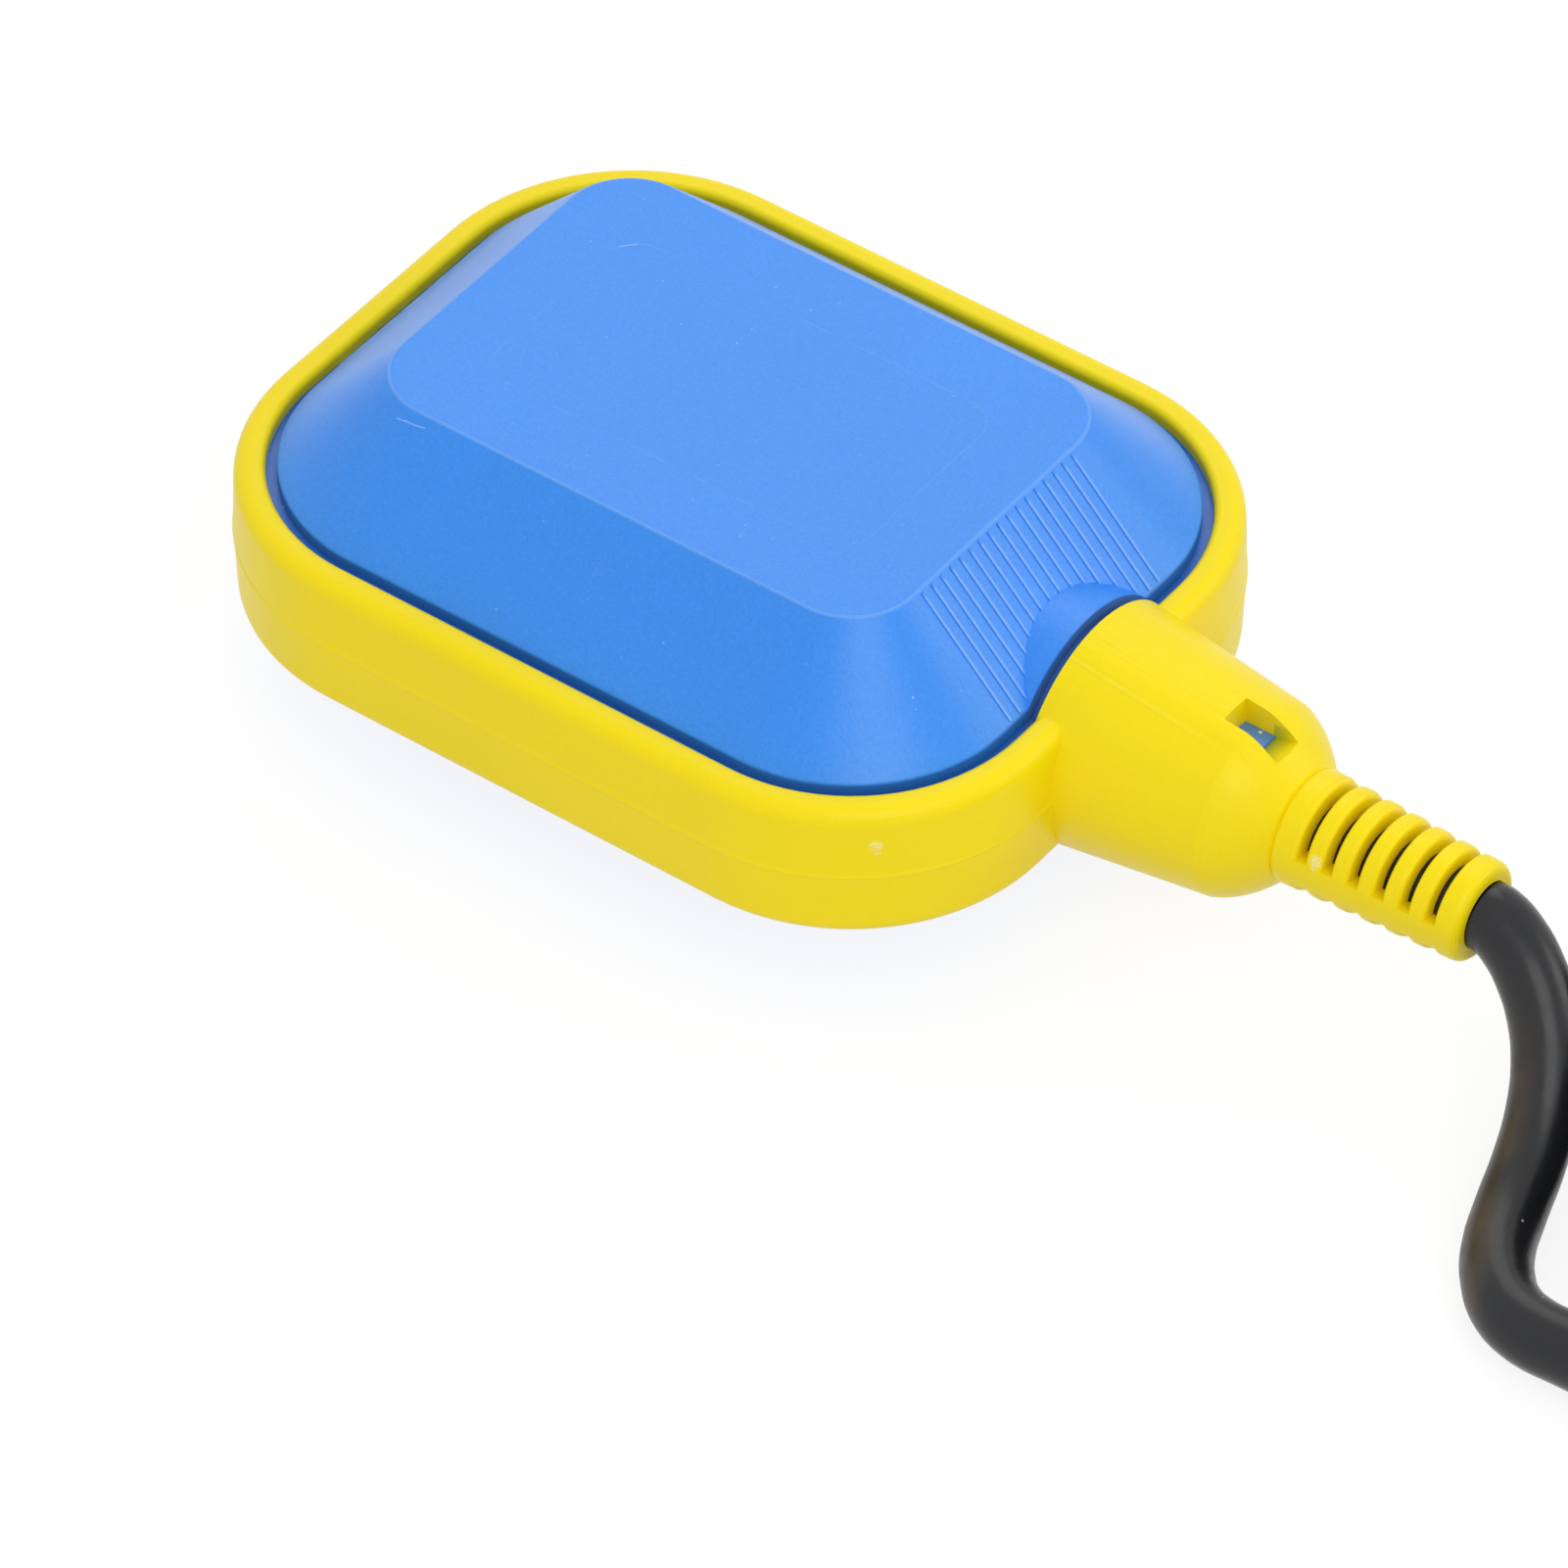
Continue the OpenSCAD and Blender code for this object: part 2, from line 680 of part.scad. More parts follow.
module ball_cage() {
    color(cage_white)
        translate([0, 0, half_t])
            difference() {
                union() {
                    cage_plan(cage_h, channel_h);
                    for (side = [-1, 1])
                        block(
                            [channel_x0 - cage_wall, side > 0 ? channel_w : -channel_out, channel_h - root],
                            [channel_x1, side > 0 ? channel_out : -channel_w, lid_h]
                        );
                    block(
                        [channel_x0 - cage_wall, -channel_out, channel_h - root],
                        [channel_x0, channel_out, lid_h]
                    );
                    switch_seat();
                    for (at = lid_post_at)
                        upright(at, post_r, cage_h, lid_h);
                    for (at = lug_at) {
                        upright(at, lug_r, cage_h, channel_h);
                        block(
                            [at[0] - lug_r, min(at[1], at[1] + at[2] * (lug_r + root)), cage_h],
                            [at[0] + lug_r, max(at[1], at[1] + at[2] * (lug_r + root)), channel_h]
                        );
                    }
                }
                for (at = lug_at)
                    upright(at, cage_screw_d / 2 + run, cage_h - over, channel_h + over);
                for (at = lid_post_at)
                    upright(at, lid_screw_d / 2, lid_top_h - lid_screw_l - over, lid_h + over);
                for (hole = holes)
                    upright(
                        [switch_x + switch_h - hole[1], switch_y + hole[0]],
                        switch_screw_d / 2, cage_h + fit, -switch_t / 2 + over
                    );
            }
}

module cage_lid() {
    color(cage_white)
        translate([0, 0, half_t])
            difference() {
                union() {
                    cage_plan(lid_h, lid_top_h);
                    for (at = lid_post_at)
                        upright(at, post_r, lid_h, lid_top_h);
                }
                for (at = lid_post_at)
                    upright(at, lid_screw_d / 2 + run, lid_h - over, lid_top_h + over);
            }
}

// A screw with a cross recess, its head on a face at height top
module screw(at, d, top, length) {
    head_r = d * head_ratio / 2;
    difference() {
        union() {
            upright(at, d / 2, top - length, top + root);
            upright(at, head_r, top, top + head_h);
        }
        for (turn = [0, 90])
            translate([at[0], at[1], top + head_h])
                rotate(turn)
                    cube([head_r, d / 5, head_h], center = true);
    }
}

module cage_screws() {
    color(steel)
        translate([0, 0, half_t])
            for (at = lug_at)
                screw(at, cage_screw_d, channel_h, cage_screw_l);
}

module lid_screws() {
    color(steel)
        translate([0, 0, half_t])
            for (at = lid_post_at)
                screw(at, lid_screw_d, lid_top_h, lid_screw_l);
}

module steel_ball() {
    color(steel) translate([ball_x, 0, half_t]) sphere(d = ball_d);
}

// Puts the switch's own frame in the body: v points away from the lead, u across the body
module in_switch() {
    translate([switch_x + switch_h, switch_y, half_t]) rotate(90) children();
}

module switch_case() {
    color(case_black)
        in_switch()
            difference() {
                union() {
                    difference() {
                        block([-half_l, 0, -switch_t / 2], [half_l, switch_h, case_top_w]);
                        block(
                            [-half_l + case_wall, case_wall, -switch_t / 2 + case_wall],
                            [half_l - case_wall, switch_h - case_wall, case_top_w + over]
                        );
                    }
                    for (hole = holes)
                        upright(hole, hole_edge - fit, -switch_t / 2, case_top_w);
                    for (w = [-lever_w / 2 - run - ear_t, lever_w / 2 + run])
                        block(
                            [pivot_u - pivot_d / 2 - ear_t, switch_h - root, w],
                            [pivot_u + pivot_d / 2 + ear_t, pivot_v + pivot_d / 2 + ear_t / 2, w + ear_t]
                        );
                }
                for (hole = holes)
                    upright(hole, hole_d / 2, -switch_t / 2 - over, case_top_w + over);
                translate([pivot_u, pivot_v, 0])
                    cylinder(d = pivot_d + 2 * run, h = lever_w + 2 * run + 2 * ear_t + over, center = true);
                translate([pivot_u, pivot_v, 0])
                    cylinder(d = pivot_d + 6 * run, h = lever_w + 2 * run, center = true);
                translate([plunger_u, switch_h - case_wall - over, 0])
                    rotate([-90, 0, 0])
                        cylinder(r = plunger_r + run, h = case_wall + 2 * over);
                block(
                    [common_u - tab_t / 2, -over, -tab_w / 2],
                    [common_u + tab_t / 2, case_wall + over, tab_w / 2]
                );
                for (v = [open_v, closed_v])
                    block([half_l - case_wall - over, v, -tab_w / 2], [half_l + over, v + tab_t, tab_w / 2]);
            }
}

module switch_cover() {
    color(cover_red)
        in_switch()
            difference() {
                block([-half_l, 0, case_top_w], [half_l, switch_h, switch_t / 2]);
                for (hole = holes)
                    upright(hole, hole_d / 2, case_top_w - over, switch_t / 2 + over);
            }
}

module switch_screws() {
    color(steel)
        in_switch()
            for (hole = holes)
                screw(hole, switch_screw_d, switch_t / 2, switch_t / 2 - channel_h + root);
}

// The lever swings on two stubs, with its underside in line with their middle
module switch_lever() {
    color(steel)
        in_switch()
            translate([pivot_u, pivot_v, 0]) {
                cylinder(d = pivot_d, h = lever_w + 2 * run + 2 * ear_t, center = true);
                rotate(lever_a)
                    difference() {
                        block([0, 0, -lever_w / 2], [lever_l, lever_t, lever_w / 2]);
                        translate([lever_l, lever_t / 2, 0])
                            for (side = [-1, 1])
                                translate([0, 0, side * lever_w / 2])
                                    rotate([0, 45, 0])
                                        cube([1.6, 2 * lever_t, 1.6], center = true);
                    }
            }
}

module switch_plunger() {
    flange_top = switch_h - case_wall - run;
    flange_t = 1.1;
    flange_out = plunger_r + 0.7;
    stem_r = plunger_r * 0.8;
    dome = 0.4;
    dome_r = (plunger_r ^ 2 + dome ^ 2) / (2 * dome);
    dome_a = asin(plunger_r / dome_r);
    color(cage_white)
        in_switch()
            translate([plunger_u, 0, 0])
                rotate([-90, 0, 0])
                    rotate_extrude()
                        polygon(concat(
                            [
                                [0, foot_v], [stem_r, foot_v], [stem_r, flange_top - flange_t],
                                [flange_out, flange_top - flange_t], [flange_out, flange_top],
                                [plunger_r, flange_top]
                            ],
                            arc([0, plunger_top - dome_r], dome_r, 90 - dome_a, 90, 4)
                        ));
}

// The blade carries the moving contact, and a bowed tongue in its window
module snap_blade() {
    bow_r = 7;
    low_u = common_u + 2;
    high_u = contact_u - 5;
    half_u = (high_u - low_u) / 2;
    half_w = blade_w * 0.3;
    tongue_t = blade_w * 0.4;
    color(brass)
        in_switch() {
            difference() {
                block(
                    [common_u - 1, blade_v, -blade_w / 2],
                    [contact_u + 1.6, blade_v + blade_t, blade_w / 2]
                );
                block([low_u, blade_v - over, -half_w], [high_u, blade_v + over, half_w]);
            }
            translate([contact_u, rivet_top, 0])
                rotate([90, 0, 0])
                    cylinder(r = contact_d / 2 - run, h = rivet_top - rivet_low);
            intersection() {
                translate([low_u + half_u, blade_v + sqrt(bow_r ^ 2 - half_u ^ 2), 0])
                    difference() {
                        cylinder(r = bow_r + blade_t / 2, h = tongue_t, center = true);
                        cylinder(r = bow_r - blade_t / 2, h = tongue_t + over, center = true);
                    }
                block([low_u - 0.3, blade_v - 3, -tongue_t], [high_u + 0.3, blade_v + blade_t / 2, tongue_t]);
            }
        }
}

module common_terminal() {
    color(brass)
        in_switch()
            block([common_u - tab_t / 2, -tab_l, -tab_w / 2], [common_u + tab_t / 2, common_top, tab_w / 2]);
}

// A fixed contact on its tab; face is +1 where the contact looks up
module fixed_terminal(v, face) {
    color(brass)
        in_switch() {
            block([contact_u - 1.5, v, -tab_w / 2], [half_l + tab_l, v + tab_t, tab_w / 2]);
            translate([contact_u, face > 0 ? v + tab_t - fit : v + fit, 0])
                rotate([-90 * face, 0, 0])
                    cylinder(d = contact_d, h = fixed_h + fit);
        }
}

module open_terminal() {
    fixed_terminal(open_v, 1);
}

module closed_terminal() {
    fixed_terminal(closed_v, -1);
}

// A sleeved push-on connector along +Z, its mouth at the origin, its blade slot wide in Y
module receptacle() {
    housing = [3, 6.6, 9];
    crimp_r = 2;
    color(sleeve_clear)
        difference() {
            union() {
                linear_extrude(housing[2])
                    polygon(rounded(
                        [
                            [-housing[0], -housing[1]] / 2, [housing[0], -housing[1]] / 2,
                            [housing[0], housing[1]] / 2, [-housing[0], housing[1]] / 2
                        ],
                        [0.8, 0.8, 0.8, 0.8], 3
                    ));
                translate([0, 0, housing[2] - root])
                    cylinder(r = crimp_r, h = receptacle_l - housing[2] + root);
            }
            translate([-tab_t / 2 - fit, -tab_w / 2 - fit, -over])
                cube([tab_t + 2 * fit, tab_w + 2 * fit, over + tab_l]);
            translate([0, 0, receptacle_l - 4]) cylinder(r = core_r, h = 4 + over);
        }
}

module common_receptacle() {
    in_switch()
        translate([common_u, -tab_gap, 0])
            rotate([90, 0, 0])
                receptacle();
}

module side_receptacle(v) {
    in_switch()
        translate([half_l + tab_gap, v + tab_t / 2, 0])
            rotate([0, 90, 0])
                rotate(90)
                    receptacle();
}

module open_receptacle() {
    side_receptacle(open_v);
}

module closed_receptacle() {
    side_receptacle(closed_v);
}

// Where each core leaves the jacket, round the lead's axis
function core_at(a) = core_ring * [0, cos(a), sin(a)];

// A core from the jacket's end by way of a route, in heights from the middle plane, into a crimp at to
module core(a, route, to, inwards) {
    crimp = 3.9;
    from = [jacket_x, 0, half_t] + core_at(a);
    by = [for (p = route) p + [0, 0, half_t]];
    path = concat(smooth(concat([from], by, [to]), 4), [to + crimp * inwards]);
    sweep(path, core_r - fit, 8, [1, 0, 0], inwards);
}

side_end_y = switch_y + half_l + tab_gap + receptacle_l;
open_end = [switch_x + switch_h - open_v - tab_t / 2, side_end_y, half_t];
closed_end = [switch_x + switch_h - closed_v - tab_t / 2, side_end_y, half_t];
common_end = [switch_x + switch_h + tab_gap + receptacle_l, switch_y + common_u, half_t];

module black_core() {
    color(lead_black)
        core(
            -90, [[40.5, -0.7, -1.8], [37.5, -3.2, -1.3], [35.6, -6.6, -0.6], [33.6, -9, -0.1]],
            common_end, [-1, 0, 0]
        );
}

module brown_core() {
    color(core_brown)
        core(
            30, [[40.5, 2.2, 1], [37, 5.4, 1], [32.5, 13, 0.6], [26, 22, 0], [18.5, 28.2, 0], [13, 29.6, 0]],
            open_end, [0, -1, 0]
        );
}

module blue_core() {
    color(core_blue)
        core(
            150,
            [
                [40.5, -1, 1.8], [37, 1.4, 3.4], [31.5, 9.5, 4.4], [23, 21.5, 4.4], [14.6, 29, 4.2],
                [9, 30.4, 2.4], [6.6, 29, 0.6]
            ],
            closed_end, [0, -1, 0]
        );
}

module neck_grommet() {
    color(lead_black)
        translate([0, 0, half_t])
            difference() {
                axial(grommet_r, grommet_x, grommet_x + grommet_l);
                axial(cable_r, grommet_x - over, grommet_x + grommet_l + over);
            }
}

module potting_plug() {
    color(resin_grey)
        translate([0, 0, half_t])
            difference() {
                axial(plug_r, plug_x, plug_x + plug_l);
                axial(cable_r, plug_x - over, plug_x + plug_l + over);
            }
}

module neck_cable() {
    color(lead_black)
        translate([0, 0, half_t])
            axial(cable_r, jacket_x, exit_x);
}

module cable() {
    color(lead_black)
        sweep(concat([[exit_x, 0, half_t]], route), cable_r, 12, [1, 0, 0]);
}

// The bundle's outline from the coil's axis: two turns wide, and three wide at the floor
function bundle() = [
    [coil_r - 1.5 * cable_d, 0], [coil_r + 1.5 * cable_d, 0], [coil_r + 1.5 * cable_d, coil_h],
    [coil_r - cable_d / 2, coil_h], [coil_r - 1.5 * cable_d, cable_d]
];

// A strap drawn round the bundle, and out past it where it is cut from it
module strap(out) {
    translate(coil_at)
        rotate([90, 0, tie_angle])
            linear_extrude(tie_w, center = true)
                difference() {
                    offset(delta = out) polygon(bundle());
                    offset(delta = -tie_t) polygon(bundle());
                }
}

module cable_coil() {
    low = coil_r - cable_r;
    high = coil_r + 1.5 * cable_d;
    edge = [cable_r, cable_r, cable_r, cable_r];
    end_low = end_r - cable_r;
    end_high = low + root;
    end_edge = [cable_r, 0, 0, cable_r];
    color(lead_black)
        difference() {
            translate(coil_at) {
                rotate_extrude()
                    polygon(rounded([[low, 0], [high, 0], [high, coil_h], [low, coil_h]], edge, 4));
                rotate(end_a0)
                    rotate_extrude(angle = end_a1 - end_a0)
                        polygon(rounded(
                            [[end_low, 0], [end_high, 0], [end_high, cable_d], [end_low, cable_d]],
                            end_edge, 4
                        ));
            }
            strap(over);
        }
}

module cable_tie() {
    head_x = coil_r + 1.5 * cable_d;
    color(tie_black) {
        strap(0);
        translate(coil_at)
            rotate(tie_angle) {
                translate([head_x - tie_t, -tie_w / 2, (coil_h - tie_head_h) / 2])
                    cube([tie_t + root, tie_w, tie_head_h]);
                translate([head_x, -tie_head_l / 2, (coil_h - tie_head_h) / 2])
                    cube([tie_head_out, tie_head_l, tie_head_h]);
            }
    }
}

// A bare core from the jacket's end: side is -1, 0 or 1 across, and all come to lie on the floor
function tail_route(side) = [
    for (i = [0:12])
        let (
            s = i / 12,
            turn_r = tail_l * 180 / PI / tail_turn,
            centre = coil_at + (end_r - turn_r) * [cos(end_a1), sin(end_a1), 0],
            a = end_a1 + tail_turn * s,
            r = turn_r + side * (core_ring * cos(30) + tail_spread * s),
            rise = (side == 0 ? -core_ring : core_ring / 2) + cable_r - core_r - run
        )
        centre + r * [cos(a), sin(a), 0] + [0, 0, core_r + run + rise * (1 - s) ^ 2]
];

module black_tail() {
    color(lead_black) sweep(tail_route(0), core_r, 8, tail_ahead);
}

module brown_tail() {
    color(core_brown) sweep(tail_route(1), core_r, 8, tail_ahead);
}

module blue_tail() {
    color(core_blue) sweep(tail_route(-1), core_r, 8, tail_ahead);
}

// Stripped copper at the end of each core
module tail_strands() {
    color(copper)
        for (side = [-1, 0, 1]) {
            pts = tail_route(side);
            ahead = unit(pts[12] - pts[11]);
            sweep([pts[12], pts[12] + ahead * strand_l], strand_d / 2, 8);
        }
}

overmould_band();
upper_shell();
lower_shell();
ball_cage();
cage_lid();
cage_screws();
lid_screws();
steel_ball();
switch_case();
switch_cover();
switch_screws();
switch_lever();
switch_plunger();
snap_blade();
common_terminal();
open_terminal();
closed_terminal();
common_receptacle();
open_receptacle();
closed_receptacle();
black_core();
brown_core();
blue_core();
neck_grommet();
potting_plug();
neck_cable();
cable();
cable_coil();
cable_tie();
black_tail();
brown_tail();
blue_tail();
tail_strands();
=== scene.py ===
"""Looks of the cable float switch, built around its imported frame.

Lengths in the tables below are in millimetres in the part's frame, as in the part's own drawing;
they are turned into metres where an object is made.
"""

import json
import math

import bpy
from mathutils import Matrix, Vector


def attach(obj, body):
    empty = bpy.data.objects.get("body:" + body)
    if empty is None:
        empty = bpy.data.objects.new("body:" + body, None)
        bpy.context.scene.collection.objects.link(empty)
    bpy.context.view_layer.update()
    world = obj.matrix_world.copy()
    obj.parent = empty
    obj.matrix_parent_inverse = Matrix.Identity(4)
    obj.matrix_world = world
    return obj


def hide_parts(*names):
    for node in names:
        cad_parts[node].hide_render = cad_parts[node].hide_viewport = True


MM = 0.001

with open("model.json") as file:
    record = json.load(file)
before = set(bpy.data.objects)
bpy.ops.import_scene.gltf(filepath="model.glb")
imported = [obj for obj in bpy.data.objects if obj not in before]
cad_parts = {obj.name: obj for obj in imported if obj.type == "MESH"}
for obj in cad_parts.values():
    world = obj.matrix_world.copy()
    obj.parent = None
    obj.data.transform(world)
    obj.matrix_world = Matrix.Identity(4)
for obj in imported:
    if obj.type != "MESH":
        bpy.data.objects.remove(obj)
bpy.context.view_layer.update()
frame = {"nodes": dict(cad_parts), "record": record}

# Camera, from the angle of the photograph

CAMERA_PLACE = Vector((0.5649, -0.7531, 0.8836))
CAMERA_RIGHT = Vector((0.8031, 0.5958, 0.0))
CAMERA_LOOK = Vector((-0.4309, 0.5808, -0.6906))
LENS = 265.7
SENSOR = 36.0

# The free lead: its route over the floor and its coil

CORD_D = 8.0
EXIT = (99.2, 0, 21.8)
ROUTE = (
    (100.6, 0, 21.7), (103.2, -0.5, 20.7), (106.4, -1.8, 18.8), (109.6, -3.8, 15.8),
    (112.2, -6.6, 12.4), (114.2, -10.4, 9), (115.7, -15, 6.3), (117.1, -20.2, 4.6),
    (119.1, -25.6, 4), (121.6, -29.4, 4), (124.8, -32.2, 4), (128.6, -33.4, 4),
    (133.2, -33.3, 4), (140, -33.1, 4), (150, -33, 4), (162, -33, 4),
)
COIL_CENTRE = (174, 21)
# radius and height of each place in the winding, in the order in which the lead fills them
COIL_PLACES = ((54, 4), (54, 12), (54, 20), (46, 20), (46, 12), (46, 4), (38, 4))
# where the lead starts to move to the next place, in degrees from the start of the coil
COIL_SHIFTS = (315, 630, 945, 1260, 1575, 1870)
SHIFT_LENGTH = 45
COIL_END = 2105
COIL_STEP = 12.5

# Outline of the body, seen from above: a rectangle with a rounded border round it

CORE_X = 26.4
CORE_Y = 15.1
PLATEAU_R = 8.0
FOOT_R = 20.6
MID_Z = 21.8
TOP_Z = 43.6
RIB_FALL = 12.9 / 12.6


def ease(share):
    """A smooth step from 0 to 1."""
    share = min(max(share, 0.0), 1.0)
    return share * share * (3 - 2 * share)


def make_camera():
    up = CAMERA_RIGHT.cross(CAMERA_LOOK).normalized()
    back = -CAMERA_LOOK.normalized()
    right = up.cross(back).normalized()
    data = bpy.data.cameras.new("photo_camera")
    data.lens = LENS
    data.sensor_width = SENSOR
    data.sensor_fit = "HORIZONTAL"
    data.clip_end = 20.0
    camera = bpy.data.objects.new("photo_camera", data)
    turn = Matrix((right, up, back)).transposed().to_4x4()
    camera.matrix_world = Matrix.Translation(CAMERA_PLACE) @ turn
    bpy.context.scene.collection.objects.link(camera)
    bpy.context.scene.camera = camera


def coil_point(angle):
    """A point of the coil, in millimetres; angle is counted along the lead, in degrees."""
    radius, height = COIL_PLACES[0]
    for start, (next_radius, next_height) in zip(COIL_SHIFTS, COIL_PLACES[1:]):
        share = ease((angle - start) / SHIFT_LENGTH)
        radius += (next_radius - radius) * share
        height += (next_height - height) * share
    turn = math.radians(angle - 90)
    return (
        COIL_CENTRE[0] + radius * math.cos(turn),
        COIL_CENTRE[1] + radius * math.sin(turn),
        height,
    )


def make_cord():
    turns = round(COIL_END / COIL_STEP)
    points = [EXIT, *ROUTE]
    points += [coil_point(COIL_END * i / turns) for i in range(turns + 1)]
    data = bpy.data.curves.new("lead", "CURVE")
    data.dimensions = "3D"
    data.resolution_u = 4
    # the depth is scaled by each knot's radius, which also sets the curve's bounding box
    data.bevel_depth = 1.0
    data.bevel_resolution = 12
    data.use_fill_caps = True
    spline = data.splines.new("BEZIER")
    spline.bezier_points.add(len(points) - 1)
    for knot, point in zip(spline.bezier_points, points):
        knot.co = Vector(point) * MM
        knot.radius = CORD_D / 2 * MM
        knot.handle_left_type = "AUTO"
        knot.handle_right_type = "AUTO"
    lead = bpy.data.objects.new("lead", data)
    bpy.context.scene.collection.objects.link(lead)
    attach(lead, "float")
    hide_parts("cable", "cable_coil")
    return lead


make_camera()
lead = make_cord()

# Materials: numbers that vary over a surface, made from nodes


def srgb(red, green, blue):
    """A colour as a screen shows it, 0 to 255, in the linear numbers that nodes use."""
    def linear(value):
        value /= 255
        return value / 12.92 if value <= 0.04045 else ((value + 0.055) / 1.055) ** 2.4
    return (linear(red), linear(green), linear(blue), 1.0)


class Field:
    """A number that varies over a surface: one output of a material's nodes."""

    def __init__(self, tree, socket):
        self.tree = tree
        self.socket = socket

    def of(self, operation, *others, clamp=False):
        node = self.tree.nodes.new("ShaderNodeMath")
        node.operation = operation
        node.use_clamp = clamp
        for slot, value in zip(node.inputs, (self, *others)):
            if isinstance(value, Field):
                self.tree.links.new(value.socket, slot)
            else:
                slot.default_value = value
        return Field(self.tree, node.outputs[0])

    def __add__(self, other):
        return self.of("ADD", other)

    def __sub__(self, other):
        return self.of("SUBTRACT", other)

    def __mul__(self, other):
        return self.of("MULTIPLY", other)

    def size(self):
        return self.of("ABSOLUTE")

    def step(self, low, high):
        """0 where the field is below low, 1 above high, and smooth between; low may be the larger."""
        node = self.tree.nodes.new("ShaderNodeMapRange")
        node.interpolation_type = "SMOOTHSTEP"
        self.tree.links.new(self.socket, node.inputs["Value"])
        swap = low > high
        node.inputs["From Min"].default_value = min(low, high)
        node.inputs["From Max"].default_value = max(low, high)
        node.inputs["To Min"].default_value = 1.0 if swap else 0.0
        node.inputs["To Max"].default_value = 0.0 if swap else 1.0
        return Field(self.tree, node.outputs["Result"])

    def line(self, centre, half_width, soft):
        """1 on a line where the field has this value, and 0 away from it."""
        return (self - centre).size().step(half_width + soft, half_width)


class Surface:
    """One procedural material, with its fields in millimetres of the part's frame."""

    def __init__(self, name, colour, roughness, **shader):
        self.material = bpy.data.materials.new(name)
        self.material.use_nodes = True
        self.tree = self.material.node_tree
        self.shader = self.tree.nodes["Principled BSDF"]
        self.base = colour
        self.rough = roughness
        self.height = None
        for socket, value in shader.items():
            self.shader.inputs[socket.replace("_", " ")].default_value = value
        place = self.add("ShaderNodeTexCoord").outputs["Object"]
        self.place = self.vector("SCALE", place, scale=1 / MM)
        split = self.add("ShaderNodeSeparateXYZ")
        self.link(self.place, split.inputs[0])
        self.x, self.y, self.z = (Field(self.tree, split.outputs[i]) for i in range(3))

    def add(self, kind):
        return self.tree.nodes.new(kind)

    def link(self, start, end):
        self.tree.links.new(start, end)

    def vector(self, operation, first, second=None, scale=None, out=0):
        node = self.add("ShaderNodeVectorMath")
        node.operation = operation
        self.link(first, node.inputs[0])
        if isinstance(second, bpy.types.NodeSocket):
            self.link(second, node.inputs[1])
        elif second is not None:
            node.inputs[1].default_value = second
        if scale is not None:
            node.inputs["Scale"].default_value = scale
        return node.outputs[out]

    def noise(self, size, detail=2.0, shift=0.0, stretch=(1, 1, 1)):
        """Noise about 0, from about -0.5 to 0.5, with features of this size in millimetres."""
        moved = self.vector("ADD", self.place, (shift, 2.7 * shift, -1.3 * shift))
        moved = self.vector("MULTIPLY", moved, tuple(1 / s for s in stretch))
        node = self.add("ShaderNodeTexNoise")
        node.inputs["Scale"].default_value = 1 / size
        node.inputs["Detail"].default_value = detail
        self.link(moved, node.inputs["Vector"])
        return Field(self.tree, node.outputs[0]) - 0.5

    def specks(self, cell, radius, share, shift=0.0):
        """Small round specks: one in each cell, in this share of the cells."""
        moved = self.vector("ADD", self.place, (shift, -shift, 2 * shift))
        node = self.add("ShaderNodeTexVoronoi")
        node.inputs["Scale"].default_value = 1 / cell
        self.link(moved, node.inputs["Vector"])
        near = Field(self.tree, node.outputs["Distance"]).step(1.4 * radius / cell, 0.7 * radius / cell)
        split = self.add("ShaderNodeSeparateColor")
        self.link(node.outputs["Color"], split.inputs[0])
        return near * Field(self.tree, split.outputs[0]).step(1.001 - share, 1.0 - share)

    def spot(self, point, radius, soft):
        """1 near a point, 0 away from it, with a ragged edge."""
        node = self.vector("DISTANCE", self.place, point, out=1)
        return (Field(self.tree, node) + self.noise(0.5 * radius, 3) * radius).step(radius + soft, radius)

    def scratch(self, start, end, half_width):
        """1 along a straight mark between two points."""
        along = Vector(end) - Vector(start)
        from_start = self.vector("SUBTRACT", self.place, tuple(start))
        reach = Field(self.tree, self.vector("DOT_PRODUCT", from_start, tuple(along), out=1))
        share = reach.of("MULTIPLY", 1 / along.length_squared, clamp=True)
        line = self.add("ShaderNodeVectorMath")
        line.operation = "SCALE"
        line.inputs[0].default_value = along
        self.link(share.socket, line.inputs["Scale"])
        away = self.vector("DISTANCE", from_start, line.outputs[0], out=1)
        return Field(self.tree, away).step(1.6 * half_width, 0.6 * half_width)

    def border(self, half_x, half_y):
        """Distance from a rectangle about the middle, seen from above."""
        over_x = (self.x.size() - half_x).of("MAXIMUM", 0.0)
        over_y = (self.y.size() - half_y).of("MAXIMUM", 0.0)
        return (over_x * over_x + over_y * over_y).of("SQRT")

    def tint(self, mask, colour):
        """Goes over to another colour where the mask is 1."""
        node = self.add("ShaderNodeMix")
        node.data_type = "RGBA"
        self.link(mask.socket, node.inputs["Factor"])
        for slot, value in ((node.inputs[6], self.base), (node.inputs[7], colour)):
            if isinstance(value, bpy.types.NodeSocket):
                self.link(value, slot)
            else:
                slot.default_value = value
        self.base = node.outputs[2]

    def vary(self, field, spread):
        """Makes the colour lighter and darker with a field about 0."""
        node = self.add("ShaderNodeHueSaturation")
        self.link((field * spread + 1.0).socket, node.inputs["Value"])
        if isinstance(self.base, bpy.types.NodeSocket):
            self.link(self.base, node.inputs["Color"])
        else:
            node.inputs["Color"].default_value = self.base
        self.base = node.outputs[0]

    def roughen(self, field):
        self.rough = field + self.rough

    def raise_by(self, field):
        """Adds to the relief, in millimetres."""
        self.height = field if self.height is None else self.height + field

